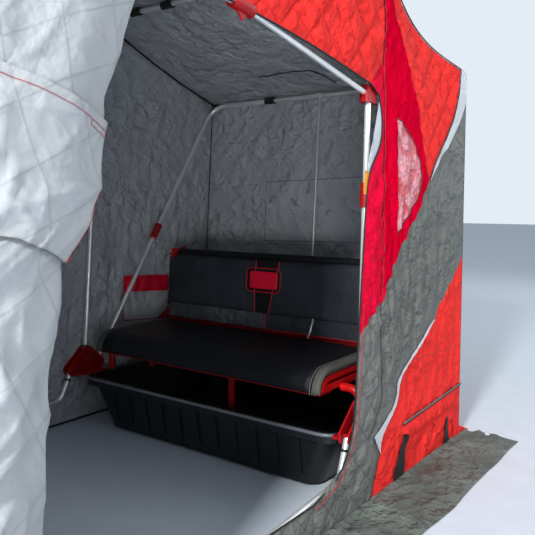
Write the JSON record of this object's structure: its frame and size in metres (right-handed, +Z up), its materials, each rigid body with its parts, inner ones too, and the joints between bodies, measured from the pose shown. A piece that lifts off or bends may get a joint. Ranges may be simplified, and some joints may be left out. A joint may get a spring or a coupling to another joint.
{
  "type": "ice fishing hut",
  "caption": "Flip-over fabric ice fishing hut: a quilted hull on telescoping aluminium hoops, hinged to a moulded sled that carries a padded bench with a backrest.",
  "frame": {"origin": "centre of the sled's base, on the ground", "axes": "+X to the right seen from the front, along the bench; +Y towards the back wall; +Z up"},
  "size_m": [2.092, 3.0836, 1.9301],
  "materials": {
    "black_fabric": "woven polyester",
    "black_plastic": "moulded nylon",
    "lining_fabric": "quilted insulated fabric, grey lining",
    "pole_aluminium": "drawn tube, satin",
    "red_fabric": "quilted polyester shell, sewn",
    "red_plastic": "moulded nylon",
    "red_steel": "powder coated",
    "seat_vinyl": "padded vinyl",
    "skirt_fabric": "coated skirt fabric, crumpled",
    "sled_plastic": "moulded polyethylene",
    "window_film": "clear film over a pink cover"
  },
  "bodies": {
    "root": {"back_couplers": "red_plastic", "back_hoop": "pole_aluminium", "back_legs": "pole_aluminium", "back_wall": "lining_fabric", "backrest": "seat_vinyl", "backrest_arms": "red_steel", "backrest_drape": "seat_vinyl", "crossbar_grips": "black_plastic", "door_header_left": "red_fabric", "door_header_right": "red_fabric", "door_sill_left": "black_fabric", "door_sill_right": "black_fabric", "front_hoop": "pole_aluminium", "front_wall": "red_fabric", "ground_hoop": "pole_aluminium", "ground_skirt": "skirt_fabric", "hub_left": "red_plastic", "hub_right": "red_plastic", "left_door": "red_fabric", "mid_couplers": "red_plastic", "mid_hoop": "pole_aluminium", "mid_legs": "pole_aluminium", "rail_crests": "red_plastic", "rail_pivots": "red_plastic", "right_door": "lining_fabric", "roof_back": "red_fabric", "roof_front": "red_fabric", "roof_vent": "black_fabric", "seat_arms": "red_steel", "seat_cushion": "seat_vinyl", "seat_frame_left": "red_steel", "seat_frame_right": "red_steel", "seat_legs": "red_steel", "seat_rails": "red_steel", "side_front_left": "red_fabric", "side_front_right": "red_fabric", "side_rails": "pole_aluminium", "side_rear_left": "red_fabric", "side_rear_right": "red_fabric", "side_window_left": "window_film", "side_window_right": "window_film", "sled_tub": "sled_plastic", "support_pole": "pole_aluminium", "wall_pocket": "lining_fabric"}
  },
  "joints": []
}
